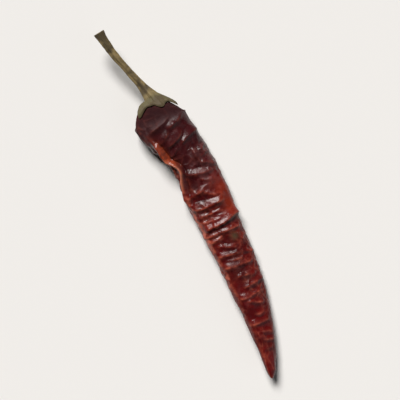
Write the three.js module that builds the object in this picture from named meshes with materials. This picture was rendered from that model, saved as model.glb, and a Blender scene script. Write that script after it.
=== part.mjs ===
// A dried cayenne chilli pepper that lies on a table: the collapsed, wrinkled pod, and the dried
// stalk that flares into the calyx on its shoulder. Millimetres, +Z up. The pepper lies along X,
// with the stalk towards -X and the tip towards +X, and the origin is on the table under its middle.
import * as THREE from "three";
import { mergeVertices } from "three/addons/utils/BufferGeometryUtils.js";

// Driving dimensions
const podLength = 100;
const shoulderRound = 10; // length over which the shoulder closes to the calyx
const tipRound = 3;
const flatness = 0.8; // under 1 flattens the pod's top and underside
const podSides = 60;
const podRings = 96;
const stalkSides = 35;
const stalkRings = 54;

// The pod's middle line and size at stations along it. side is across, towards +Y, lift is the height of
// its underside over the table, where less than nothing is pressed flat, and twist turns the section.
const podStations = [
  { along: 0, side: -2.7, lift: 0.8, halfWidth: 9.0, halfHeight: 5.3, twist: 0 },
  { along: 4, side: -3.2, lift: 0.3, halfWidth: 9.5, halfHeight: 5.4, twist: 0 },
  { along: 8, side: -3.3, lift: 0.1, halfWidth: 9.6, halfHeight: 5.4, twist: 0 },
  { along: 12, side: -2.3, lift: 0, halfWidth: 8.9, halfHeight: 5.3, twist: 0 },
  { along: 16, side: -0.9, lift: -0.15, halfWidth: 8.1, halfHeight: 5.0, twist: 0 },
  { along: 20, side: 0.1, lift: -0.3, halfWidth: 7.65, halfHeight: 4.8, twist: 0 },
  { along: 26, side: 0.95, lift: -0.35, halfWidth: 7.55, halfHeight: 4.6, twist: 0 },
  { along: 36, side: 1.0, lift: -0.4, halfWidth: 7.85, halfHeight: 4.5, twist: 0 },
  { along: 50, side: 1.15, lift: -0.4, halfWidth: 7.1, halfHeight: 4.2, twist: -3 },
  { along: 64, side: 1.25, lift: -0.1, halfWidth: 6.6, halfHeight: 3.8, twist: -10 },
  { along: 78, side: 0.4, lift: 0.6, halfWidth: 5.2, halfHeight: 3.2, twist: -20 },
  { along: 90, side: -1.4, lift: 2.0, halfWidth: 3.4, halfHeight: 2.3, twist: -30 },
  { along: 100, side: -4.0, lift: 4.2, halfWidth: 1.1, halfHeight: 1.0, twist: -36 },
];

// The stalk's middle line, from its cut end to the pod, and its radius there
const stalkStations = [
  { along: -27, side: -9.7, height: 10.6, radius: 1.75 },
  { along: -24, side: -9.3, height: 10.0, radius: 1.45 },
  { along: -18, side: -8.0, height: 8.9, radius: 1.2 },
  { along: -11, side: -5.8, height: 7.5, radius: 1.15 },
  { along: -5, side: -3.9, height: 6.4, radius: 1.5 },
  { along: -1.5, side: -3.0, height: 6.1, radius: 2.3 },
];

const stalkRibs = { count: 5, depth: 0.13 };
// reach is how far the calyx comes down the shoulder between its teeth, and flare the share of its
// own width that the stalk widens over
const calyx = { reach: 1.7, teeth: 5, toothReach: 2.0, thickness: 0.8, gap: 0.3, flare: 0.55 };

const turn = 2 * Math.PI;
const clamp01 = (value) => Math.min(1, Math.max(0, value));

function smoothStep(low, high, value) {
  const share = clamp01((value - low) / (high - low));
  return share * share * (3 - 2 * share);
}

// A smooth curve through the stations' values of one key
function smoothBetween(stations, key, along) {
  const last = stations.length - 1;
  const next = Math.max(1, Math.min(last, stations.findIndex((s) => s.along >= along)));
  const i = stations[last].along < along ? last : next;
  const slope = (k) => {
    const before = stations[Math.max(0, k - 1)];
    const after = stations[Math.min(last, k + 1)];
    return (after[key] - before[key]) / (after.along - before.along);
  };
  const start = stations[i - 1];
  const end = stations[i];
  const gap = end.along - start.along;
  const t = clamp01((along - start.along) / gap);
  const t2 = t * t;
  const t3 = t2 * t;
  return (
    (2 * t3 - 3 * t2 + 1) * start[key] +
    (t3 - 2 * t2 + t) * gap * slope(i - 1) +
    (3 * t2 - 2 * t3) * end[key] +
    (t3 - t2) * gap * slope(i)
  );
}

// A repeatable number from 0 to 1 for each pair of whole numbers and each seed
function chance(i, j, seed) {
  let h = Math.imul(i, 374761393) + Math.imul(j, 668265263) + Math.imul(seed, 1442695041);
  h = Math.imul(h ^ (h >>> 13), 1274126177);
  return ((h ^ (h >>> 16)) >>> 0) / 4294967296;
}

const wrap = (value, count) => ((value % count) + count) % count;

// Soft waves from -1 to 1, which join up round the pod
function waves(along, around, size, count, seed) {
  const p = along / size;
  const q = (around / turn) * count;
  const i = Math.floor(p);
  const j = Math.floor(q);
  const u = smoothStep(0, 1, p - i);
  const v = smoothStep(0, 1, q - j);
  const at = (di, dj) => chance(i + di, wrap(j + dj, count), seed);
  const near = at(0, 0) * (1 - u) + at(1, 0) * u;
  const far = at(0, 1) * (1 - u) + at(1, 1) * u;
  return 2 * (near * (1 - v) + far * v) - 1;
}

// How far a place is from the creases between the dents, in millimetres: the dents are cells round
// scattered points, length long and width wide, count of them round the pod
function fromCrease(along, around, length, width, count, seed) {
  const p = along / length;
  const q = (around / turn) * count;
  let nearest = Infinity;
  let second = Infinity;
  for (let i = Math.floor(p) - 1; i <= Math.floor(p) + 1; i++) {
    for (let j = Math.floor(q) - 1; j <= Math.floor(q) + 1; j++) {
      const k = wrap(j, count);
      const across = (q - j - 0.1 - 0.8 * chance(i, k, seed)) * width;
      const down = (p - i - 0.1 - 0.8 * chance(i, k, seed + 1)) * length;
      const distance = Math.hypot(across, down);
      second = Math.min(second, Math.max(nearest, distance));
      nearest = Math.min(nearest, distance);
    }
  }
  return (second - nearest) / 2;
}

// The dents between scattered creases, where the skin sank in as it dried
const dents = { length: 4.6, width: 9.4, count: 4, depth: 0.9, rounding: 1.0, seed: 7 };
// Hollows that run along the pod, each a place round it in degrees, from one end to the other
const hollows = [
  { from: 118, to: 80, depth: 0.5, width: 20, start: 30, end: 90 },
  { from: 250, to: 285, depth: 1.3, width: 20, start: 4, end: 92 },
  { from: 322, to: 345, depth: 0.9, width: 16, start: 8, end: 70 },
];
// The crest of the fold of skin down one side of the pod's top, and the groove between it and the outline
const foldCrest = [
  { along: 10, side: -9.8 },
  { along: 12.6, side: -8.6 },
  { along: 16, side: -7.9 },
  { along: 19, side: -6.9 },
  { along: 22.6, side: -4.6 },
  { along: 25.4, side: -4.0 },
  { along: 28, side: -4.8 },
  { along: 34, side: -6.1 },
  { along: 42, side: -6.8 },
];
const fold = { start: 12, end: 36, height: 1.2, width: 0.9, groove: 0.9, grooveWidth: 1.1, apart: 1.9 };
// The creases across the pod's top, each from one (along, side) to another: how far it bows towards the
// tip, how high it stands, and how wide its flanks towards the stalk and towards the tip are
const seenCreases = [
  { from: [9.2, -8.0], to: [7.4, -0.3], bow: 0.3, height: 0.6, before: 2.2, after: 0.8 },
  { from: [10.6, -2.0], to: [10.0, 4.5], bow: 0.3, height: 0.65, before: 2.4, after: 0.8 },
  { from: [12.7, -7.0], to: [11.9, -2.6], bow: 0.2, height: 0.5, before: 1.8, after: 0.7 },
  { from: [14.9, -4.6], to: [13.8, 1.8], bow: 0.3, height: 0.75, before: 2.7, after: 0.8 },
  { from: [18.5, -5.8], to: [17.2, -1.8], bow: 0.2, height: 0.45, before: 1.5, after: 0.6 },
  { from: [16.6, 0.2], to: [16.4, 8.0], bow: -0.3, height: 0.8, before: 2.4, after: 0.8 },
  { from: [20.0, 2.8], to: [25.0, 3.6], bow: 0.3, height: 0.8, before: 1.5, after: 0.8 },
  { from: [24.6, 3.2], to: [27.4, 8.4], bow: 0.2, height: 0.85, before: 2.1, after: 0.8 },
  { from: [26.8, -2.8], to: [28.8, 6.0], bow: 0.5, height: 0.75, before: 2.1, after: 0.8 },
  { from: [34.6, -6.6], to: [33.7, 0.9], bow: 0.3, height: 0.65, before: 1.5, after: 0.7 },
  { from: [33.9, 0.0], to: [36.8, 4.4], bow: 0.2, height: 0.5, before: 1.5, after: 0.7 },
  { from: [38.6, -5.8], to: [39.5, 5.4], bow: 0.2, height: 0.85, before: 2.5, after: 0.8 },
  { from: [41.4, -6.3], to: [42.4, 4.0], bow: 0.2, height: 0.5, before: 1.2, after: 0.6 },
  { from: [46.5, -4.4], to: [44.9, 8.8], bow: 0.1, height: 1.4, before: 3.3, after: 0.9 },
  { from: [48.2, -6.8], to: [49.1, 6.8], bow: 0.3, height: 0.8, before: 1.8, after: 0.8 },
  { from: [51.4, -5.4], to: [49.6, 1.0], bow: 0.1, height: 0.5, before: 1.2, after: 0.6 },
  { from: [53.1, -3.0], to: [54.9, 2.6], bow: 0.2, height: 0.5, before: 1.4, after: 0.7 },
  { from: [56.1, -4.6], to: [56.9, 3.2], bow: 0.2, height: 0.6, before: 1.8, after: 0.7 },
  { from: [60.5, -4.6], to: [61.3, 5.4], bow: 0.2, height: 0.75, before: 2.2, after: 0.8 },
];
// The creases past those, where the photograph hides the pod, follow a rule
const tipCreases = { start: 63.5, pitch: 3.3, count: 9, height: 0.85, before: 2.4, after: 0.8, seed: 12 };
// The flat spot that the pod rests on
const belly = { start: 22, end: 62, around: 270, width: 36 };

const degreesApart = (a, b) => Math.abs(wrap(a - b + 180, 360) - 180);
const bump = (distance, width) => Math.exp(-((distance / width) ** 2));
const span = (along, start, end, fade) =>
  smoothStep(start - fade, start + fade, along) * (1 - smoothStep(end - fade, end + fade, along));

function tipCrease(k) {
  const [ahead, left, right, slant, size] = [0, 1, 2, 3, 4].map((n) => chance(k, n, tipCreases.seed));
  const x = tipCreases.start + tipCreases.pitch * (k + 0.5 * ahead);
  const middle = smoothBetween(podStations, "side", x);
  const half = smoothBetween(podStations, "halfWidth", x);
  return {
    from: [x - 2.5 * (slant - 0.4), middle - half * (0.2 + 0.8 * left)],
    to: [x + 2.5 * (slant - 0.4), middle + half * (0.2 + 0.8 * right)],
    bow: 0.2,
    height: tipCreases.height * (0.6 + 0.4 * size),
    before: tipCreases.before * (0.6 + 0.4 * size),
    after: tipCreases.after,
  };
}

const creases = [...seenCreases, ...Array.from({ length: tipCreases.count }, (_, k) => tipCrease(k))];

// How high the creases across the top stand at a spot seen from above
function creaseRelief(x, y) {
  let height = 0;
  for (const crease of creases) {
    const [x0, y0] = crease.from;
    const length = Math.hypot(crease.to[0] - x0, crease.to[1] - y0);
    const ux = (crease.to[0] - x0) / length;
    const uy = (crease.to[1] - y0) / length;
    const on = (x - x0) * ux + (y - y0) * uy;
    const off = (x - x0) * uy - (y - y0) * ux - crease.bow * (1 - ((2 * on) / length - 1) ** 2);
    const flank = off < 0 ? clamp01(1 + off / crease.before) : Math.exp(-off / crease.after);
    height = Math.max(height, crease.height * span(on, 0, length, 1.2) * flank);
  }
  return height;
}

// How far the wrinkled skin stands out of the plain pod, in millimetres
function relief(along, around) {
  const degrees = (around / turn) * 360;
  const halfWidth = smoothBetween(podStations, "halfWidth", along);
  const side = smoothBetween(podStations, "side", along) + halfWidth * Math.cos(around);
  const top = smoothStep(-0.25, 0.3, Math.sin(around));

  const bent = along + 1.4 * waves(along, around, 7, 6, 21);
  const turned = around + 0.18 * waves(along, around, 9, 5, 22);
  const crease = fromCrease(bent, turned, dents.length, dents.width, dents.count, dents.seed);
  const uneven = 0.75 + 0.45 * waves(along, around, 12, 4, 23);
  const placed = top * span(along, 4, 92, 4); // where the placed creases stand instead of scattered ones
  let height = -dents.depth * uneven * (1 - Math.exp(-crease / dents.rounding)) * (1 - 0.7 * placed);
  height += (creaseRelief(along + 0.5 * waves(along, around, 3, 9, 27), side) - 0.6) * placed;

  for (const hollow of hollows) {
    const share = clamp01((along - hollow.start) / (hollow.end - hollow.start));
    const middle = hollow.from + (hollow.to - hollow.from) * share + 5 * Math.sin(along / 6);
    const there = span(along, hollow.start, hollow.end, 5);
    height -= hollow.depth * there * bump(degreesApart(degrees, middle), hollow.width);
  }

  const fromCrest = side - smoothBetween(foldCrest, "side", along);
  const folded = top * span(along, fold.start, fold.end, 3);
  height += fold.height * folded * bump(fromCrest, fold.width);
  height -= fold.groove * folded * bump(fromCrest + fold.apart, fold.grooveWidth);

  const rest = span(along, belly.start, belly.end, 5);
  const pressed = rest * smoothStep(belly.width, 0.5 * belly.width, degreesApart(degrees, belly.around));
  return height * Math.min(1, halfWidth / 8) * smoothStep(0, 5, along) * (1 - pressed);
}

// A point on the pod, raised over its skin by the last number
function podPoint(along, around, raised = 0) {
  const at = (key, place = along) => smoothBetween(podStations, key, place);
  const step = 0.5;
  const middle = (place) =>
    new THREE.Vector3(place, at("side", place), at("lift", place) + at("halfHeight", place));
  const forward = middle(Math.min(podLength, along + step))
    .sub(middle(Math.max(0, along - step)))
    .normalize();
  const across = new THREE.Vector3(0, 0, 1).cross(forward).normalize();
  const up = forward.clone().cross(across);
  const shoulder = Math.sqrt(1 - (1 - clamp01(along / shoulderRound)) ** 2);
  const tip = Math.sqrt(1 - (1 - clamp01((podLength - along) / tipRound)) ** 2);
  const width = at("halfWidth") * shoulder * tip;
  const height = at("halfHeight") * shoulder * tip;
  const twist = THREE.MathUtils.degToRad(at("twist"));
  const c = Math.cos(around);
  const s = Math.sin(around);
  const sideways = width * c;
  const upward = height * Math.sign(s) * Math.abs(s) ** flatness;
  // The way out of the skin: across the section, turned back towards the end where the pod closes
  const closing = Math.sqrt(1 - shoulder * shoulder) - Math.sqrt(1 - tip * tip);
  const outC = c * at("halfHeight");
  const outS = s * at("halfWidth");
  const outSize = Math.hypot(outC, outS);
  const spread = Math.sqrt(1 - closing * closing);
  const out = relief(along, around) + raised;
  const y = sideways + (out * spread * outC) / outSize;
  const z = upward + (out * spread * outS) / outSize;
  const point = middle(along)
    .addScaledVector(across, y * Math.cos(twist) - z * Math.sin(twist))
    .addScaledVector(up, y * Math.sin(twist) + z * Math.cos(twist))
    .addScaledVector(forward, -out * closing);
  return point;
}

// A closed skin shaped from a sphere: place(share, around) gives the point at a share of the way
// from one pole to the other
function skin(sides, rings, place) {
  const geometry = new THREE.SphereGeometry(1, sides, rings);
  const uv = geometry.getAttribute("uv");
  const position = geometry.getAttribute("position");
  for (let i = 0; i < position.count; i++) {
    const ring = Math.round((1 - uv.getY(i)) * rings);
    const side = ring === 0 || ring === rings ? 0 : Math.round(uv.getX(i) * sides) % sides;
    const point = place(ring / rings, -(side / sides) * turn);
    position.setXYZ(i, point.x, point.y, point.z);
  }
  geometry.deleteAttribute("normal");
  geometry.deleteAttribute("uv");
  const closed = mergeVertices(geometry, 1e-3);
  closed.computeVertexNormals();
  return closed;
}

// Rings stand closer together towards both ends
const spacing = (share) => 0.6 * share + 0.4 * (0.5 - 0.5 * Math.cos(Math.PI * share));

function podSkin() {
  return skin(podSides, podRings, (share, around) => {
    const point = podPoint(podLength * spacing(share), wrap(around, turn));
    point.z = Math.max(0, point.z);
    return point;
  });
}

// The stalk from its cut end to the calyx, over the calyx's rim, and back under it
function stalkSkin() {
  const first = stalkStations[0].along;
  const last = stalkStations[stalkStations.length - 1].along;
  const cutEnd = 0.06;
  const stalkEnd = 0.56;
  const rimAt = 0.82;
  const tooth = (around) =>
    (0.5 + 0.5 * Math.cos(calyx.teeth * around + 0.4)) ** 2 * (1 + 0.3 * Math.cos(2 * around + 1));
  const rim = (around) => calyx.reach + calyx.toothReach * tooth(around);
  const onStalk = (share, around) => {
    const along = first + (last - first) * clamp01((share - cutEnd) / (stalkEnd - cutEnd));
    const at = (key, place = along) => smoothBetween(stalkStations, key, place);
    const middle = (place) => new THREE.Vector3(place, at("side", place), at("height", place));
    const forward = middle(Math.min(last, along + 0.5))
      .sub(middle(Math.max(first, along - 0.5)))
      .normalize();
    const across = new THREE.Vector3(0, 0, 1).cross(forward).normalize();
    const up = forward.clone().cross(across);
    const ribs = 1 + stalkRibs.depth * Math.cos(stalkRibs.count * around + along / 9);
    const radius = at("radius") * ribs * Math.min(1, share / cutEnd);
    return middle(along)
      .addScaledVector(across, radius * Math.cos(around))
      .addScaledVector(up, radius * Math.sin(around));
  };
  const onCalyx = (share, around) => {
    const out = clamp01((share - stalkEnd) / (rimAt - stalkEnd));
    const along = rim(around) * (0.25 + 0.75 * out ** 1.3);
    const midrib = 0.25 * tooth(around) * Math.sin(Math.PI * out);
    const rounding = Math.sqrt(1 - smoothStep(0.75, 1, out) ** 2 * 0.9);
    const raised = calyx.gap + (calyx.thickness * (1 - 0.5 * out) + midrib) * rounding;
    return onStalk(stalkEnd, around).lerp(podPoint(along, around, raised), smoothStep(0, calyx.flare, out));
  };
  return skin(stalkSides, stalkRings, (share, turned) => {
    const around = wrap(turned, turn);
    if (share <= stalkEnd) return onStalk(share, around);
    if (share <= rimAt) return onCalyx(share, around);
    const back = (1 - share) / (1 - rimAt);
    return podPoint(rim(around) * back ** 1.6, around, calyx.gap);
  });
}

const podMaterial = new THREE.MeshStandardMaterial({ color: 0x6a1a16, roughness: 0.38, metalness: 0 });
const stalkMaterial = new THREE.MeshStandardMaterial({ color: 0x6b6238, roughness: 0.75, metalness: 0 });

const pod = new THREE.Mesh(podSkin(), podMaterial);
pod.name = "pod";
const stalk = new THREE.Mesh(stalkSkin(), stalkMaterial);
stalk.name = "stalk_with_calyx";

const chilli = new THREE.Group();
chilli.add(pod, stalk);
const reach = new THREE.Box3().setFromObject(chilli, true);
chilli.position.set(-(reach.min.x + reach.max.x) / 2, -(reach.min.y + reach.max.y) / 2, -reach.min.z);

export default chilli;
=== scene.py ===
import math
import bmesh
import bpy
import numpy as np
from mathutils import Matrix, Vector


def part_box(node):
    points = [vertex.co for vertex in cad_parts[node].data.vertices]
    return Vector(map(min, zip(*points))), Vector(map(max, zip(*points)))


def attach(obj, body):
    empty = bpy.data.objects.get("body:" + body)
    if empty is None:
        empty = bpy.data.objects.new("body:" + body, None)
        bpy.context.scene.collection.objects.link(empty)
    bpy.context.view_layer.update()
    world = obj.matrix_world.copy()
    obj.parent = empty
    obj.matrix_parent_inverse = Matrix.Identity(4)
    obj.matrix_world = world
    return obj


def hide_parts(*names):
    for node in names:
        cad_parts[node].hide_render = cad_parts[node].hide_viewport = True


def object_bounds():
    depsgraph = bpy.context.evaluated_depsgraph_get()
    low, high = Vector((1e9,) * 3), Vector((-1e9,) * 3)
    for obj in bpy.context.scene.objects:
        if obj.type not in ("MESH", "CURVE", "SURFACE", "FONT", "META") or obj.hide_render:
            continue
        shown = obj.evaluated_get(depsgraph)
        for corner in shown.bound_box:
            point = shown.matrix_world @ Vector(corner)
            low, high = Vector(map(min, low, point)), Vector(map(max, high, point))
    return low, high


# A dried cayenne chilli pepper on a pale table: the collapsed, wrinkled pod and its dried stalk.
# Shapes are worked out in millimetres: along runs down the pod from its shoulder, side is across it,
# and around is the angle round it, a quarter turn at the top.
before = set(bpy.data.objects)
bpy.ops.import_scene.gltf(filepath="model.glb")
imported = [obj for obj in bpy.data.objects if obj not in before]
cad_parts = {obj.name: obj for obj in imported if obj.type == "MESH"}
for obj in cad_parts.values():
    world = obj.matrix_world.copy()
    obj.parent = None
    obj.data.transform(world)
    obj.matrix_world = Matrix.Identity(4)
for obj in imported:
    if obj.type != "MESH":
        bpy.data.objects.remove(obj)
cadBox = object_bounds()
millimetre = 0.001
turn = 2 * math.pi


# What the pod and the stalk share

def addToScene(name, data):
    made = bpy.data.objects.new(name, data)
    bpy.context.scene.collection.objects.link(made)
    return made


def smoothStep(low, high, value):
    share = np.clip((value - low) / (high - low), 0, 1)
    return share * share * (3 - 2 * share)


def bump(distance, width):
    return np.exp(-((distance / width) ** 2))


def span(value, start, end, fade):
    return smoothStep(start - fade, start + fade, value) * (1 - smoothStep(end - fade, end + fade, value))


def degreesApart(a, b):
    return np.abs((a - b + 180) % 360 - 180)


def smoothBetween(stations, column, along):  # a smooth curve through one column of a table
    places = np.array([row[0] for row in stations], float)
    values = np.array([row[column] for row in stations], float)
    slopes = np.empty(len(places))
    slopes[1:-1] = (values[2:] - values[:-2]) / (places[2:] - places[:-2])
    slopes[0] = (values[1] - values[0]) / (places[1] - places[0])
    slopes[-1] = (values[-1] - values[-2]) / (places[-1] - places[-2])
    end = np.clip(np.searchsorted(places, along), 1, len(places) - 1)
    start = end - 1
    gap = places[end] - places[start]
    t = np.clip((along - places[start]) / gap, 0, 1)
    return (
        (2 * t**3 - 3 * t**2 + 1) * values[start]
        + (t**3 - 2 * t**2 + t) * gap * slopes[start]
        + (3 * t**2 - 2 * t**3) * values[end]
        + (t**3 - t**2) * gap * slopes[end]
    )


def chance(i, j, seed):  # a repeatable number from 0 to 1 for each pair of whole numbers and seed
    whole = np.uint64(0xFFFFFFFF)
    i, j = np.asarray(i).astype(np.int64), np.asarray(j).astype(np.int64)
    h = (i * 374761393 + j * 668265263 + seed * 1442695041).astype(np.uint64) & whole
    h = ((h ^ (h >> np.uint64(13))) * np.uint64(1274126177)) & whole
    return (h ^ (h >> np.uint64(16))).astype(float) / 4294967296


def waves(along, around, size, count, seed):  # soft waves from -1 to 1, which join up round the pod
    p, q = along / size, around / turn * count
    i, j = np.floor(p), np.floor(q)
    u, v = smoothStep(0, 1, p - i), smoothStep(0, 1, q - j)
    near = chance(i, j % count, seed) * (1 - u) + chance(i + 1, j % count, seed) * u
    far = chance(i, (j + 1) % count, seed) * (1 - u) + chance(i + 1, (j + 1) % count, seed) * u
    return 2 * (near * (1 - v) + far * v) - 1


def sizedWaves(along, around, setting):
    size, length, count, seed = setting
    return size * waves(along, around, length, count, seed)


def fromCrease(along, around, cells):
    # millimetres from the creases between dents, which are cells round scattered points
    count, seed = cells["count"], cells["seed"]
    p, q = along / cells["length"], around / turn * count
    nearest, second = np.full(p.shape, np.inf), np.full(p.shape, np.inf)
    for di in (-1, 0, 1):
        for dj in (-1, 0, 1):
            i, j = np.floor(p) + di, np.floor(q) + dj
            across = (q - j - 0.1 - 0.8 * chance(i, j % count, seed)) * cells["width"]
            down = (p - i - 0.1 - 0.8 * chance(i, j % count, seed + 1)) * cells["length"]
            distance = np.hypot(across, down)
            second = np.minimum(second, np.maximum(nearest, distance))
            nearest = np.minimum(nearest, distance)
    return (second - nearest) / 2


def lineFrame(middle, place, first, last):
    # the middle line at each place, and the directions across it, up from it and along it
    step = 0.5
    forward = middle(np.minimum(last, place + step)) - middle(np.maximum(first, place - step))
    forward /= np.linalg.norm(forward, axis=-1, keepdims=True)
    across = np.cross([0, 0, 1], forward)
    across /= np.linalg.norm(across, axis=-1, keepdims=True)
    return middle(place), across, np.cross(forward, across), forward


def shapedSphere(name, sides, rings, place):
    # a sphere whose points move to place(share of the way between the poles, angle round)
    shape = bmesh.new()
    bmesh.ops.create_uvsphere(shape, u_segments=sides, v_segments=rings, radius=1)
    unit = np.array([v.co for v in shape.verts])
    share = np.arccos(np.clip(unit[:, 2], -1, 1)) / math.pi
    around = np.arctan2(unit[:, 1], unit[:, 0]) % turn
    points, marks = place(share, around)
    for v, point in zip(shape.verts, points + frameShift):
        v.co = point * millimetre
    bmesh.ops.recalc_face_normals(shape, faces=shape.faces)
    mesh = bpy.data.meshes.new(name)
    shape.to_mesh(mesh)
    shape.free()
    for mark, values in marks.items():
        mesh.attributes.new(mark, "FLOAT", "POINT").data.foreach_set("value", values.astype(np.float32))
    mesh.polygons.foreach_set("use_smooth", [True] * len(mesh.polygons))
    print(name, len(mesh.polygons), "faces")
    return addToScene(name, mesh)


# The pod

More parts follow.
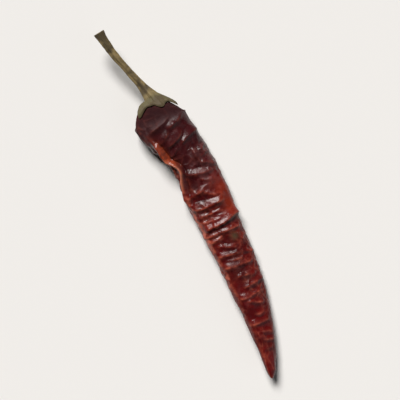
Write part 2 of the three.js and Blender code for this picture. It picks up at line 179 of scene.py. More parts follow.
pod = {
    "length": 100,
    "shoulder": 10,
    "tip": 3,
    "flatness": 0.8,  # under 1 flattens the top and the underside
    "topStarts": (-0.25, 0.3),  # how high round the section, from -1 to 1, the creases of the top fade in
    "reliefStarts": 5,  # the length from the shoulder over which the relief grows
    "fineStarts": 2,
    "slimmerThan": 8,  # the half width under which the relief shrinks
    "hollowShade": (-0.2, -1.4),  # millimetres of relief between which painted shade darkens the skin in its hollows
    "sides": 256,
    "rings": 390,
    "evenRings": 0.6,  # the rest crowd towards both ends
    "solidSides": 60,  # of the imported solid, which is only read to find where the pod lies
    "solidRings": 96,
    # along, side, lift, half width, half height, twist in degrees
    "stations": [
        (0, -2.7, 0.8, 9.0, 5.3, 0),
        (4, -3.2, 0.3, 9.5, 5.4, 0),
        (8, -3.3, 0.1, 9.6, 5.4, 0),
        (12, -2.3, 0.0, 8.9, 5.3, 0),
        (16, -0.9, -0.15, 8.1, 5.0, 0),
        (20, 0.1, -0.3, 7.65, 4.8, 0),
        (26, 0.95, -0.35, 7.55, 4.6, 0),
        (36, 1.0, -0.4, 7.85, 4.5, 0),
        (50, 1.15, -0.4, 7.1, 4.2, -3),
        (64, 1.25, -0.1, 6.6, 3.8, -10),
        (78, 0.4, 0.6, 5.2, 3.2, -20),
        (90, -1.4, 2.0, 3.4, 2.3, -30),
        (100, -4.0, 4.2, 1.1, 1.0, -36),
    ],
    "dents": {
        "length": 4.6,
        "width": 9.4,
        "count": 4,
        "depth": 0.9,
        "usual": 0.75,  # share of that depth
        "rounding": 1.0,
        "ridge": 0.45,
        "seed": 7,
    },
    "wrinkles": {
        "length": 1.7,
        "width": 3.4,
        "count": 11,
        "depth": 0.27,
        "rounding": 0.4,
        "ridge": 0.3,
        "patches": (-0.3, 0.8),
        "seed": 31,
    },
    "belly": {"start": 22, "end": 62, "fade": 5, "around": 270, "width": 36},
    "pleats": {"count": 13, "depth": 0.25, "start": 3, "end": 12},
    # soft waves that make the forms uneven: size, millimetres long, number round the pod, seed
    "waves": {
        "dentsAlong": (1.4, 7, 6, 21),
        "dentsAround": (0.18, 9, 5, 22),
        "dentDepth": (0.45, 12, 4, 23),
        "wrinklesAlong": (0.5, 2.2, 19, 24),
        "wrinklesAround": (0.08, 2.4, 17, 25),
        "wrinklePatches": (1, 7, 6, 26),
        "creasesAlong": (0.5, 3, 9, 27),
        "pleatsAround": (0.10, 4, 7, 28),
    },
    "placed": {"start": 4, "end": 92, "fade": 4, "level": 0.6, "instead": 0.7},  # where creases are placed
    # hollows along the pod: degrees round it at their start and end, depth, width, start, end
    "hollows": [
        (118, 80, 0.5, 20, 30, 90),
        (250, 285, 1.3, 20, 4, 92),
        (322, 345, 0.9, 16, 8, 70),
    ],
    "hollowFade": 5,
    "hollowWander": (5, 6),  # degrees to each side, and millimetres along the pod for each radian of it
    # the fold of skin down the left of the top, and the groove between it and the outline
    "foldCrest": [(10, -9.8), (12.6, -8.6), (16, -7.9), (19, -6.9), (22.6, -4.6), (25.4, -4.0),
                  (28, -4.8), (34, -6.1), (42, -6.8)],
    "fold": {
        "start": 12,
        "end": 36,
        "fade": 3,
        "height": 1.2,
        "width": 0.9,
        "groove": 0.9,
        "grooveWidth": 1.1,
        "apart": 1.9,  # from the crest out to the groove
        "pinch": 0.5,
        "pinchAt": 1.3,  # from the crest in to the pinch
        "pinchWidth": 0.45,
        "edge": 0.35,
        "edgeWidth": 0.3,
        # the fold's colours: painted light on its outer strip, a painted orange glow of light through its
        # thin skin, and a painted highlight along its crest
        "litOutside": (0.6, -0.8),  # from the crest, where the painted light on the outer side fades in
        "orangeAt": 0.7,
        "orangeGlowWidth": 1.0,
        "orangeGlowFades": (18, 24),
        "crestHighlightWidth": 0.38,
        "crestHighlightStarts": (16, 19),
        "crestHighlightFades": (29, 34),
    },
    "scar": (51.6, 3.7, 1.3),  # along, side and size of a small healed spot
    # all creases: how far their ends fade, the crest's width, and the place and width of the painted shade
    # in their lee, in widths of the flank behind
    "creaseEnds": 1.2,
    "crestWidth": 0.3,
    "creaseShadeAt": 1.1,
    "creaseShadeWidth": 0.6,
    # creases across the top: start and end (along, side), bow, height, the widths of the two flanks
    "creases": [
        ((9.2, -8.0), (7.4, -0.3), 0.3, 0.6, 2.2, 0.8),
        ((10.6, -2.0), (10.0, 4.5), 0.3, 0.65, 2.4, 0.8),
        ((12.7, -7.0), (11.9, -2.6), 0.2, 0.5, 1.8, 0.7),
        ((14.9, -4.6), (13.8, 1.8), 0.3, 0.75, 2.7, 0.8),
        ((18.5, -5.8), (17.2, -1.8), 0.2, 0.45, 1.5, 0.6),
        ((16.6, 0.2), (16.4, 8.0), -0.3, 0.8, 2.4, 0.8),
        ((20.0, 2.8), (25.0, 3.6), 0.3, 0.8, 1.5, 0.8),
        ((24.6, 3.2), (27.4, 8.4), 0.2, 0.85, 2.1, 0.8),
        ((26.8, -2.8), (28.8, 6.0), 0.5, 0.75, 2.1, 0.8),
        ((34.6, -6.6), (33.7, 0.9), 0.3, 0.65, 1.5, 0.7),
        ((33.9, 0.0), (36.8, 4.4), 0.2, 0.5, 1.5, 0.7),
        ((38.6, -5.8), (39.5, 5.4), 0.2, 0.85, 2.5, 0.8),
        ((41.4, -6.3), (42.4, 4.0), 0.2, 0.5, 1.2, 0.6),
        ((46.5, -4.4), (44.9, 8.8), 0.1, 1.4, 3.3, 0.9),
        ((48.2, -6.8), (49.1, 6.8), 0.3, 0.8, 1.8, 0.8),
        ((51.4, -5.4), (49.6, 1.0), 0.1, 0.5, 1.2, 0.6),
        ((53.1, -3.0), (54.9, 2.6), 0.2, 0.5, 1.4, 0.7),
        ((56.1, -4.6), (56.9, 3.2), 0.2, 0.6, 1.8, 0.7),
        ((60.5, -4.6), (61.3, 5.4), 0.2, 0.75, 2.2, 0.8),
    ],
    # smaller ones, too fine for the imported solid
    "fineCreases": [
        ((13.2, -9.8), (12.2, -7.2), 0.1, 0.45, 0.9, 0.5),
        ((21.6, 4.4), (20.6, 7.6), 0.4, 0.7, 1.3, 0.5),
        ((23.6, 5.2), (23.2, 8.4), -0.3, 0.4, 0.9, 0.5),
        ((30.2, 1.2), (31.4, 5.8), 0.4, 0.4, 1.2, 0.5),
        ((36.4, 4.0), (38.0, 6.6), -0.4, 0.35, 0.9, 0.5),
        ((43.4, -5.0), (44.3, 1.6), 0.2, 0.35, 0.8, 0.45),
        ((46.8, -1.6), (46.2, 3.8), 0.2, 0.4, 0.8, 0.45),
        ((50.0, -6.0), (50.9, -0.6), 0.2, 0.35, 0.8, 0.45),
        ((51.2, 5.2), (54.2, 6.6), 0.3, 0.45, 0.9, 0.5),
        ((57.6, 4.6), (58.4, 8.0), 0.2, 0.7, 1.2, 0.5),
        ((58.4, -2.4), (59.2, 3.6), 0.2, 0.35, 0.8, 0.45),
    ],
    # along, side, size, height
    "blisters": [(22.7, 5.2, 1.5, 0.85), (58.8, 7.2, 0.8, 0.5), (10.6, 0.2, 0.9, 0.35)],
    # the creases past those, where the photograph hides the pod, follow a rule
    "tipCreases": {
        "start": 63.5,
        "pitch": 3.3,
        "count": 9,
        "slant": 2.5,
        "bow": 0.2,
        "height": 0.85,
        "before": 2.4,
        "after": 0.8,
        "seed": 12,
    },
}


def tipCreases():
    rule = pod["tipCreases"]
    for k in range(rule["count"]):
        ahead, left, right, turned, size = (chance(k, n, rule["seed"]) for n in range(5))
        x = rule["start"] + rule["pitch"] * (k + 0.5 * ahead)
        middle, half = smoothBetween(pod["stations"], 1, x), smoothBetween(pod["stations"], 3, x)
        slant = rule["slant"] * (turned - 0.4)
        scale = 0.6 + 0.4 * size
        start = (x - slant, middle - half * (0.2 + 0.8 * left))
        end = (x + slant, middle + half * (0.2 + 0.8 * right))
        yield start, end, rule["bow"], rule["height"] * scale, rule["before"] * scale, rule["after"]


mainCreases = pod["creases"] + list(tipCreases())


def creaseRelief(x, y, creases):
    # the height of the creases across the top, how near their crests are, and how deep in their lee, where
    # the skin gets painted shade
    height, near, creaseShade = np.zeros_like(x), np.zeros_like(x), np.zeros_like(x)
    for (x0, y0), (x1, y1), bow, high, before, after in creases:
        length = math.hypot(x1 - x0, y1 - y0)
        ux, uy = (x1 - x0) / length, (y1 - y0) / length
        on = (x - x0) * ux + (y - y0) * uy
        off = (x - x0) * uy - (y - y0) * ux - bow * (1 - (2 * on / length - 1) ** 2)
        there = span(on, 0, length, pod["creaseEnds"])
        flank = np.where(off < 0, np.clip(1 + off / before, 0, 1), np.exp(-np.abs(off) / after))
        height = np.maximum(height, high * there * flank)
        near = np.maximum(near, there * np.exp(-np.abs(off) / pod["crestWidth"]))
        creaseShade = np.maximum(creaseShade, there * high * bump(off - pod["creaseShadeAt"] * after, pod["creaseShadeWidth"] * after))
    return height, near, creaseShade


def podRelief(along, around, fine):
    # how far the wrinkled skin stands out of the plain pod, and what the skin's colours follow, painted
    # shade, highlights and glow among them
    degrees = around / turn * 360
    halfWidth = smoothBetween(pod["stations"], 3, along)
    side = smoothBetween(pod["stations"], 1, along) + halfWidth * np.cos(around)
    top = smoothStep(*pod["topStarts"], np.sin(around))
    dents, placing, fold, belly = pod["dents"], pod["placed"], pod["fold"], pod["belly"]

    def wave(name):
        return sizedWaves(along, around, pod["waves"][name])

    crease = fromCrease(along + wave("dentsAlong"), around + wave("dentsAround"), dents)
    uneven = dents["usual"] + wave("dentDepth")
    placed = top * span(along, placing["start"], placing["end"], placing["fade"])
    scattered = 1 - placing["instead"] * placed
    height = -dents["depth"] * uneven * (1 - np.exp(-crease / dents["rounding"])) * scattered
    ridge = np.exp(-crease / dents["ridge"]) * np.clip(uneven, 0, 1) * scattered
    high, near, creaseShade = creaseRelief(along + wave("creasesAlong"), side, mainCreases)
    height += (high - placing["level"]) * placed
    ridge = np.maximum(ridge, near * placed)

    wander, forRadian = pod["hollowWander"]
    for first, last, depth, width, start, end in pod["hollows"]:
        share = np.clip((along - start) / (end - start), 0, 1)
        middle = first + (last - first) * share + wander * np.sin(along / forRadian)
        there = span(along, start, end, pod["hollowFade"])
        height -= depth * there * bump(degreesApart(degrees, middle), width)

    inward = side - smoothBetween(pod["foldCrest"], 1, along)  # millimetres in from the fold's crest
    folded = top * span(along, fold["start"], fold["end"], fold["fade"])
    height += fold["height"] * folded * bump(inward, fold["width"])
    height -= fold["groove"] * folded * bump(inward + fold["apart"], fold["grooveWidth"])
    # painted light on the fold: an orange glow of light through its thin inner side, and a highlight along
    # its crest
    orange = folded * bump(inward - fold["orangeAt"], fold["orangeGlowWidth"])
    crestHighlightLine = folded * bump(inward, fold["crestHighlightWidth"]) * smoothStep(*fold["crestHighlightStarts"], along)

    fineHeight = 0
    if fine:
        wrinkles, pleats = pod["wrinkles"], pod["pleats"]
        crease = fromCrease(along + wave("wrinklesAlong"), around + wave("wrinklesAround"), wrinkles)
        patchy = smoothStep(*wrinkles["patches"], wave("wrinklePatches"))
        fineHeight = -wrinkles["depth"] * patchy * (1 - np.exp(-crease / wrinkles["rounding"]))
        fineHeight -= fold["pinch"] * folded * bump(inward - fold["pinchAt"], fold["pinchWidth"])
        fineHeight += fold["edge"] * folded * np.exp(-np.abs(inward) / fold["edgeWidth"])
        fineHigh, fineNear, fineCreaseShade = creaseRelief(along, side, pod["fineCreases"])
        fineHeight += fineHigh * placed
        for x, y, size, blister in pod["blisters"]:
            fineHeight += blister * placed * bump(np.hypot(along - x, side - y), size)
        ridge = np.maximum(ridge, 0.5 * patchy * np.exp(-crease / wrinkles["ridge"]))
        ridge = np.maximum(ridge, 0.8 * fineNear * placed)
        creaseShade = np.maximum(creaseShade, fineCreaseShade)
        pleated = np.cos(pleats["count"] / 2 * (around + wave("pleatsAround")))
        fading = 1 - smoothStep(pleats["start"], pleats["end"], along)
        fineHeight -= pleats["depth"] * (1 - np.abs(pleated)) * fading

    # the pod lies on a pressed spot, and the relief dies away towards both ends
    rest = span(along, belly["start"], belly["end"], belly["fade"])
    fromBelly = degreesApart(degrees, belly["around"])
    pressed = rest * smoothStep(belly["width"], 0.5 * belly["width"], fromBelly)
    height = height * smoothStep(0, pod["reliefStarts"], along)
    height = height + fineHeight * smoothStep(0, pod["fineStarts"], along)
    height *= np.minimum(1, halfWidth / pod["slimmerThan"]) * (1 - pressed)
    scarAlong, scarSide, scarSize = pod["scar"]
    # the marks for the colours: several carry painted light, the shade in the hollows and behind the
    # creases, the glow and highlight on the fold, and the light on its outer strip
    marks = {
        "ridge": ridge * (1 - pressed),
        "fold": orange * (1 - smoothStep(*fold["orangeGlowFades"], along)),
        "litOutside": folded * smoothStep(*fold["litOutside"], inward) * smoothStep(0, 0.4, np.sin(around)),
        "foldCrestHighlight": crestHighlightLine * (1 - smoothStep(*fold["crestHighlightFades"], along)),
        "creaseShade": creaseShade * placed,
        "hollowShade": smoothStep(*pod["hollowShade"], height),
        "along": along / pod["length"],
        "acrossIt": np.cos(around),
        "top": top,
        "scar": top * bump(np.hypot(along - scarAlong, side - scarSide), scarSize),
    }
    return height, marks


def podPoint(along, around, raised=0, fine=True):
    stations = pod["stations"]
    middle, across, up, forward = lineFrame(
        lambda place: np.stack([place, smoothBetween(stations, 1, place),
                                smoothBetween(stations, 2, place) + smoothBetween(stations, 4, place)], -1),
        along, 0, pod["length"])
    shoulder = np.sqrt(1 - (1 - np.clip(along / pod["shoulder"], 0, 1)) ** 2)
    tip = np.sqrt(1 - (1 - np.clip((pod["length"] - along) / pod["tip"], 0, 1)) ** 2)
    halfWidth, halfHeight = smoothBetween(stations, 3, along), smoothBetween(stations, 4, along)
    twist = np.radians(smoothBetween(stations, 5, along))
    c, s = np.cos(around), np.sin(around)
    # the way out of the skin: across the section, turned back towards the end where the pod closes
    closing = np.sqrt(1 - shoulder**2) - np.sqrt(1 - tip**2)
    spread = np.sqrt(1 - closing**2)
    outSize = np.hypot(c * halfHeight, s * halfWidth)
    relief, marks = podRelief(along, around, fine)
    out = relief + raised
    y = halfWidth * shoulder * tip * c + out * spread * c * halfHeight / outSize
    flattened = np.sign(s) * np.abs(s) ** pod["flatness"]
    z = halfHeight * shoulder * tip * flattened + out * spread * s * halfWidth / outSize
    point = (
        middle
        + across * (y * np.cos(twist) - z * np.sin(twist))[:, None]
        + up * (y * np.sin(twist) + z * np.cos(twist))[:, None]
        - forward * (out * closing)[:, None]
    )
    point[:, 2] = np.maximum(0, point[:, 2])
    return point, marks


def podSkin(share, around, fine=True):
    crowded = 0.5 - 0.5 * np.cos(math.pi * share)
    even = pod["evenRings"]
    return podPoint(pod["length"] * (even * share + (1 - even) * crowded), around, fine=fine)


# The frame is centred on the whole pepper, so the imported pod's lowest corner tells how far it moved
solidShare, solidAround = np.meshgrid(np.arange(pod["solidRings"] + 1) / pod["solidRings"],
                                      np.arange(pod["solidSides"]) / pod["solidSides"] * turn)
solidPoints = podSkin(solidShare.ravel(), solidAround.ravel(), fine=False)[0]
frameShift = np.array(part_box("pod")[0]) / millimetre - solidPoints.min(0)
print("frame shift in mm", frameShift.round(3), "and the packed pod is longer than its formula by",
      (np.array(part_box("pod")[1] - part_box("pod")[0]) / millimetre - np.ptp(solidPoints, 0)).round(3))

podPiece = shapedSphere("dried_pod", pod["sides"], pod["rings"], podSkin)


# The stalk, which flares into the calyx on the pod's shoulder

stalk = {
    "sides": 120,
    "rings": 240,
    # along, side, height, radius
    "stations": [
        (-27, -9.7, 10.6, 1.75),
        (-24, -9.3, 10.0, 1.45),
        (-18, -8.0, 8.9, 1.2),
        (-11, -5.8, 7.5, 1.15),
        (-5, -3.9, 6.4, 1.5),
        (-1.5, -3.0, 6.1, 2.3),
    ],
    "ribs": 5,
    "ribDepth": 0.13,
    "ribTurn": 9,  # millimetres along the stalk that turn the ribs by a radian
    "cutDip": 0.5,
    "dipWidth": 0.7,  # share of the cut end
    "reach": 1.7,  # how far the calyx comes down the shoulder between its teeth
    "teeth": 5,
    "toothReach": 2.0,
    "toothTurn": 0.4,
    "toothVariety": 0.3,
    "thickness": 0.8,
    "gap": 0.3,
    "rimRounds": 0.75,  # the share of the calyx's reach past which its rim rounds off
    "veinHeight": 0.25,
    "flare": 0.55,  # how much of the calyx's reach the stalk widens over
    # soft waves: size, millimetres long, number round the stalk, seed
    "waves": {
        "knobs": (0.05, 2.5, 5, 41),
        "fineKnobs": (0.03, 0.9, 16, 42),
        "rim": (0.2, 1, 17, 43),
        "veins": (0.12, 1, 34, 44),
        "curl": (0.25, 1, 11, 45),
    },
    # the shares of the way over the surface at which the cut end, the stalk and the calyx's outside end
    "cutShare": 0.06,
    "stalkShare": 0.56,
    "rimShare": 0.82,
}


def stalkSkin(share, around):
    stations = stalk["stations"]
    first, last = stations[0][0], stations[-1][0]
    along = first + (last - first) * np.clip(
        (share - stalk["cutShare"]) / (stalk["stalkShare"] - stalk["cutShare"]), 0, 1)
    middle, across, up, forward = lineFrame(
        lambda place: np.stack([place, smoothBetween(stations, 1, place),
                                smoothBetween(stations, 2, place)], -1),
        along, first, last)

    def wave(name, place):
        return sizedWaves(place, around, stalk["waves"][name])

    ribs = 1 + stalk["ribDepth"] * np.cos(stalk["ribs"] * around + along / stalk["ribTurn"])
    knobs = 1 + wave("knobs", along) + wave("fineKnobs", along)
    cut = np.minimum(1, share / stalk["cutShare"])
    radius = smoothBetween(stations, 3, along) * ribs * knobs * cut
    dip = stalk["cutDip"] * bump(cut, stalk["dipWidth"]) * (share < stalk["cutShare"])
    onStalk = (
        middle
        + across * (radius * np.cos(around))[:, None]
        + up * (radius * np.sin(around))[:, None]
        + forward * dip[:, None]
    )

    longer = 1 + stalk["toothVariety"] * np.cos(2 * around + 1)  # some teeth reach further than others
    tooth = (0.5 + 0.5 * np.cos(stalk["teeth"] * around + stalk["toothTurn"])) ** 2 * longer
    rim = stalk["reach"] + stalk["toothReach"] * tooth + wave("rim", 3 + 0 * around)
    out = np.clip((share - stalk["stalkShare"]) / (stalk["rimShare"] - stalk["stalkShare"]), 0, 1)
    rounding = np.sqrt(1 - smoothStep(stalk["rimRounds"], 1, out) ** 2 * 0.9)
    raised = stalk["thickness"] * (1 - 0.5 * out) + stalk["veinHeight"] * tooth * np.sin(math.pi * out)
    raised += wave("veins", out * 5) * smoothStep(0, 0.3, out)
    raised += wave("curl", 5 + 0 * around) * smoothStep(0.5, 1, out)
    down = rim * (0.25 + 0.75 * out**1.3)
    onCalyx = podPoint(down, around, stalk["gap"] + raised * rounding, fine=False)[0]
    joined = smoothStep(0, stalk["flare"], out)[:, None]
    onCalyx = onStalk * (1 - joined) + onCalyx * joined
    back = np.clip((1 - share) / (1 - stalk["rimShare"]), 0, 1)
    under = podPoint(rim * back**1.6, around, stalk["gap"], fine=False)[0]
    points = np.where((share <= stalk["stalkShare"])[:, None], onStalk,
                      np.where((share <= stalk["rimShare"])[:, None], onCalyx, under))
    marks = {
        "calyx": smoothStep(stalk["stalkShare"] - 0.08, stalk["stalkShare"] + 0.1, share),
        "rim": out,
        "cut": 1 - smoothStep(0.8, 1.0, share / stalk["cutShare"]),
        "roundIt": around / turn,
    }
    return points, marks


stalkPiece = shapedSphere("dried_stalk", stalk["sides"], stalk["rings"], stalkSkin)


# Materials

class Wire:  # a socket of a node tree, so that shader maths reads as plain sums
    def __init__(self, tree, socket=None):
        self.tree, self.socket = tree, socket

    def node(self, kind, settings=None, sockets=None, output=0):
        made = self.tree.nodes.new(kind)
        for name, value in (settings or {}).items():
            setattr(made, name, value)
        for name, value in (sockets or {}).items():
            if isinstance(value, Wire):
                self.tree.links.new(value.socket, made.inputs[name])
            else:
                made.inputs[name].default_value = value
        return Wire(self.tree, made.outputs[output])

    def maths(self, operation, *values):
        return self.node("ShaderNodeMath", {"operation": operation}, dict(enumerate(values)))

    def __add__(self, other):
        return self.maths("ADD", self, other)

    def __radd__(self, other):
        return self.maths("ADD", other, self)

    def __sub__(self, other):
        return self.maths("SUBTRACT", self, other)

    def __rsub__(self, other):
        return self.maths("SUBTRACT", other, self)

    def __mul__(self, other):
        return self.maths("MULTIPLY", self, other)

    def __rmul__(self, other):
        return self.maths("MULTIPLY", other, self)

    def within(self, low, high):  # 0 at low and 1 at high, with a soft step between
        return self.node("ShaderNodeMapRange", {"interpolation_type": "SMOOTHSTEP"},
                         {"Value": self, "From Min": low, "From Max": high})

    def stretch(self, starts, full, fading, gone):  # 1 on a stretch, with soft ends
        return self.within(starts, full) * (1 - self.within(fading, gone))

    def mix(self, first, second):  # this mask mixes two colours
        colours = {6: first if isinstance(first, Wire) else (*first, 1),
                   7: second if isinstance(second, Wire) else (*second, 1)}
        return self.node("ShaderNodeMix", {"data_type": "RGBA"}, {0: self, **colours}, output=2)

    def mark(self, name):
        return self.node("ShaderNodeAttribute", {"attribute_name": name}, output=2)

    def noise(self, size, detail=3, distortion=0.0, offset=(0, 0, 0)):  # size in millimetres
        place = self.node("ShaderNodeTexCoord", output=3)
        place = self.node("ShaderNodeVectorMath", {"operation": "ADD"}, {0: place, 1: offset})
        return self.node("ShaderNodeTexNoise", {}, {
            "Vector": place, "Scale": 1 / (size * millimetre), "Detail": detail, "Distortion": distortion})


def newMaterial(name, build):
    material = bpy.data.materials.new(name)
    material.use_nodes = True
    sheet = Wire(material.node_tree)
    shader = next(n for n in sheet.tree.nodes if n.type == "BSDF_PRINCIPLED")
    for socket, value in build(sheet).items():
        if isinstance(value, Wire):
            sheet.tree.links.new(value.socket, shader.inputs[socket])
        else:
            shader.inputs[socket].default_value = value
    return material


skin = {
    "deep": (0.020, 0.0025, 0.0035),
    "maroon": (0.046, 0.0065, 0.0080),
    "red": (0.098, 0.0036, 0.0038),
    "wine": (0.075, 0.0026, 0.0028),
    # colours that stand in for light: painted light on the fold's outer strip, a crest colour that is
    # partly the skin and partly painted highlight, a painted glow of light through thin skin, the fold's
    # painted orange glow, a painted highlight on the fold's crest, and a painted sheen
    "litOutside": (0.150, 0.0055, 0.0045),
    "crest": (0.36, 0.080, 0.048),
    "glowThroughSkin": (0.27, 0.030, 0.011),
    "orange": (0.33, 0.052, 0.016),
    "foldCrestHighlight": (0.48, 0.15, 0.08),
    "sheen": (0.17, 0.060, 0.058),
    "scar": (0.070, 0.042, 0.020),
    # where along the pod these change, in millimetres: the shoulder's painted shade, the reddening, the
    # wine patch, the edge's painted glow of light through the skin, the patch of painted sheen, and the
    # painted highlight along the rim
    "darkAndShadedShoulderStretch": (4, 12),
    "reddens": (21, 37),
    "winePatch": (27, 31, 35, 38),
    "glowingEdge": (29, 36, 43, 47),
    "sheenPatch": (20, 26, 31, 36),
    "rimHighlight": (18, 24),
    "rimHighlightFades": (56, 74),
    "crestsFade": (80, 92),
    "roughness": 0.23,
    "gloss": 0.25,
    "grain": 0.00014,  # metres
}


def driedSkin(sheet):
    along, acrossIt, top = sheet.mark("along") * pod["length"], sheet.mark("acrossIt"), sheet.mark("top")
    ridge, fold, foldCrestHighlight = sheet.mark("ridge"), sheet.mark("fold"), sheet.mark("foldCrestHighlight")
    lower = (along + 10 * (sheet.noise(12, 2) - 0.5)).within(*skin["reddens"])
    darkAndShadedShoulder = 1 - along.within(*skin["darkAndShadedShoulderStretch"])
    patches = sheet.noise(6, 3, 0.4).within(0.44, 0.62)
    mottle = sheet.noise(1.4, 4, 0.2).within(0.35, 0.7)

    # the skin's colour, maroon towards the shoulder and red below, with painted shade in its hollows and
    # behind its creases
    colour = lower.mix(skin["maroon"], skin["red"])
    colour = (patches * (0.75 - 0.30 * lower)).mix(colour, skin["deep"])
    colour = (sheet.mark("hollowShade") * 0.7 + mottle * 0.25).mix(colour, skin["deep"])
    colour = (sheet.mark("creaseShade") * 0.9).mix(colour, skin["deep"])
    wine = acrossIt.within(0.25, 0.6) * top * along.stretch(*skin["winePatch"])
    colour = (wine * 0.8).mix(colour, skin["wine"])
    # painted light on the strip outside the fold, which is mixed towards a brighter red
    colour = (sheet.mark("litOutside") * 0.7).mix(colour, skin["litOutside"])
    # the shoulder is mixed towards near black: partly its own deep maroon and partly painted shade
    colour = (darkAndShadedShoulder * (0.85 - 0.5 * acrossIt.within(-0.25, -0.75))).mix(colour, skin["deep"])

    # painted light: a glow of light through the thin right edge and the fold, painted highlights along the
    # rim, the left flank and the fold's crest, and crests paler, partly in their skin and partly as painted
    # highlight
    edge = acrossIt.within(0.2, 0.75) * top * along.stretch(*skin["glowingEdge"])
    colour = (edge * (0.10 + 0.7 * sheet.noise(3, 2))).mix(colour, skin["glowThroughSkin"])
    rim = acrossIt.within(-0.76, -0.94) * top * along.within(*skin["rimHighlight"])
    rim = rim * (1 - 0.8 * along.within(*skin["rimHighlightFades"]))
    flank = acrossIt.within(-0.35, -0.9) * top * 0.35
    crests = 0.18 + 0.45 * lower * (1 - 0.5 * along.within(*skin["crestsFade"])) + flank
    paleSkinAndHighlight = ridge * crests * (1 - 0.7 * darkAndShadedShoulder) + rim
    broken = 0.15 + 1.3 * sheet.noise(2.0, 3, 0, (0.02, 0, 0)).within(0.36, 0.66)
    colour = (paleSkinAndHighlight * broken).mix(colour, skin["crest"])
    orange = 0.35 + 0.6 * sheet.noise(1.8, 4, 0.3).within(0.38, 0.6)
    colour = (fold * orange).mix(colour, skin["orange"])
    colour = (foldCrestHighlight * (0.5 + 0.5 * sheet.noise(2, 2))).mix(colour, skin["foldCrestHighlight"])

    # painted sheen in patches and over the hazy patch, which is also rougher, and the healed spot
    sheen = sheet.noise(3.2, 4, 0.3, (0.05, 0, 0)).within(0.52, 0.72) * (1 - darkAndShadedShoulder)
    sheenPlace = along.stretch(*skin["sheenPatch"]) * acrossIt.within(-0.5, 0.1) * top
    hazySheen = sheenPlace * sheet.noise(1.6, 4, 0.3, (0, 0.03, 0)).within(0.36, 0.58)
    colour = (sheen * 0.12 + hazySheen * 0.22).mix(colour, skin["sheen"])
    colour = (sheet.mark("scar") * 0.9).mix(colour, skin["scar"])

    pores, creped = sheet.noise(0.3, 2), sheet.noise(0.9, 3, 0.6)
    bumped = sheet.node("ShaderNodeBump", {}, {
        "Height": pores * 0.35 + creped, "Strength": 0.6, "Distance": skin["grain"]})
    return {
        "Base Color": colour,
        "Roughness": skin["roughness"] + 0.06 * mottle + 0.14 * sheen + 0.08 * hazySheen + 0.68 * darkAndShadedShoulder,
        "Specular IOR Level": skin["gloss"],
        "Normal": bumped,
    }


wood = {
    "straw": (0.23, 0.165, 0.065),
    "brown": (0.070, 0.048, 0.018),
    "olive": (0.060, 0.056, 0.020),
    "pith": (0.36, 0.29, 0.17),
    "fibres": 150,  # radians round the stalk
    "roughness": 0.62,
    "grain": 0.00015,  # metres
}


def driedStalk(sheet):
    calyx, rim, cut, roundIt = (sheet.mark(name) for name in ("calyx", "rim", "cut", "roundIt"))
    patches = sheet.noise(4, 3, 0.3).within(0.4, 0.62)
    fibres = sheet.maths("SINE", roundIt * wood["fibres"] + 3 * sheet.noise(5, 2))
    colour = patches.mix(wood["straw"], wood["brown"])
    colour = (calyx * 0.8).mix(colour, patches.mix(wood["olive"], wood["brown"]))
    colour = (rim.within(0.75, 1.0) * calyx * 0.8).mix(colour, wood["brown"])
    colour = (cut * 0.8).mix(colour, wood["pith"])
    bumped = sheet.node("ShaderNodeBump", {}, {
        "Height": fibres * 0.5 + sheet.noise(0.5, 4), "Strength": 0.6, "Distance": wood["grain"]})
    return {
        "Base Color": colour,
        "Roughness": wood["roughness"] + 0.2 * sheet.noise(0.8, 3),
        "Normal": bumped,
    }


podPiece.data.materials.append(newMaterial("driedSkin", driedSkin))
stalkPiece.data.materials.append(newMaterial("driedStalk", driedStalk))
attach(podPiece, "root")
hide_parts("pod")
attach(stalkPiece, "root")
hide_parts("stalk_with_calyx")
print("materials done")


# The table, the lamps and the camera, which looks straight down as in the photograph

view = {
    "turned": 66,  # degrees from the pod's own length to the picture's bottom edge
    "across": 132,  # millimetres across the picture
    "lens": 100,
    "sensor": 36,
    "aimHeight": 6,
    "nearest": 0.01,  # metres, as the farthest
    "farthest": 20,
}
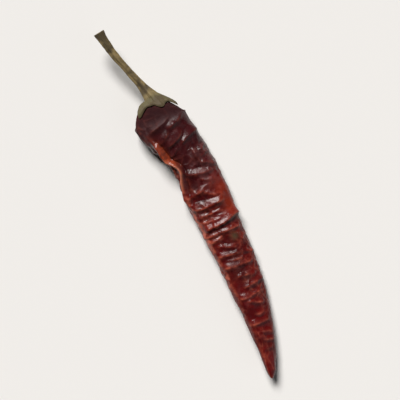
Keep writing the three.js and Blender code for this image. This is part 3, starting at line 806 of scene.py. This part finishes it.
# which way each lamp stands from the pod (right and up in the picture, and above it), how many
# degrees it is across, its strength and its colour
lamps = {
    "key": ((-0.20, 0.43, 0.56), 26, 4.8, (1, 0.98, 0.965)),
    "fill": ((0.6, -0.25, 0.35), 60, 0.35, (0.94, 0.97, 1)),
}
table = {"colour": (0.72, 0.71, 0.69, 1), "size": 8, "roughness": 0.9, "gloss": 0.1}
skyColour = (0.87, 0.85, 0.80, 1)

angle = math.radians(view["turned"])
pictureRight = np.array([math.cos(angle), math.sin(angle), 0])
pictureUp = np.array([-math.sin(angle), math.cos(angle), 0])
aim = (np.array(cadBox[0]) + np.array(cadBox[1])) / 2
aim[2] = view["aimHeight"] * millimetre

floorShape = bmesh.new()
bmesh.ops.create_grid(floorShape, x_segments=1, y_segments=1, size=table["size"])
floorMesh = bpy.data.meshes.new("tabletop")
floorShape.to_mesh(floorMesh)
floorShape.free()
floorMesh.materials.append(newMaterial("paleTable", lambda sheet: {
    "Base Color": table["colour"], "Roughness": table["roughness"], "Specular IOR Level": table["gloss"]}))
addToScene("tabletop", floorMesh)

for name, (place, across, strength, colour) in lamps.items():
    lamp = bpy.data.lights.new(name, "SUN")
    lamp.angle, lamp.energy, lamp.color = math.radians(across), strength, colour
    holder = addToScene(name, lamp)
    holder.location = aim + pictureRight * place[0] + pictureUp * place[1] + np.array([0, 0, place[2]])
    holder.rotation_euler = (Vector(aim) - holder.location).to_track_quat("-Z", "Y").to_euler()

sky = bpy.data.worlds.new("studio")
sky.use_nodes = True
sky.node_tree.nodes["Background"].inputs["Color"].default_value = skyColour
bpy.context.scene.world = sky
seenBy = sky.cycles_visibility  # the sky is there for the camera, and the lamps alone give the light
seenBy.diffuse = seenBy.glossy = seenBy.transmission = seenBy.scatter = False

camera = addToScene("camera", bpy.data.cameras.new("camera"))
camera.data.lens, camera.data.sensor_width = view["lens"], view["sensor"]
away = view["across"] * millimetre * view["lens"] / view["sensor"]
camera.location = aim + np.array([0, 0, away])
camera.rotation_euler = (0, 0, angle)
camera.data.clip_start, camera.data.clip_end = view["nearest"], view["farthest"]
bpy.context.scene.camera = camera
bpy.context.scene.view_settings.view_transform = "Standard"
print("camera", round(away, 3), "m above the pod")
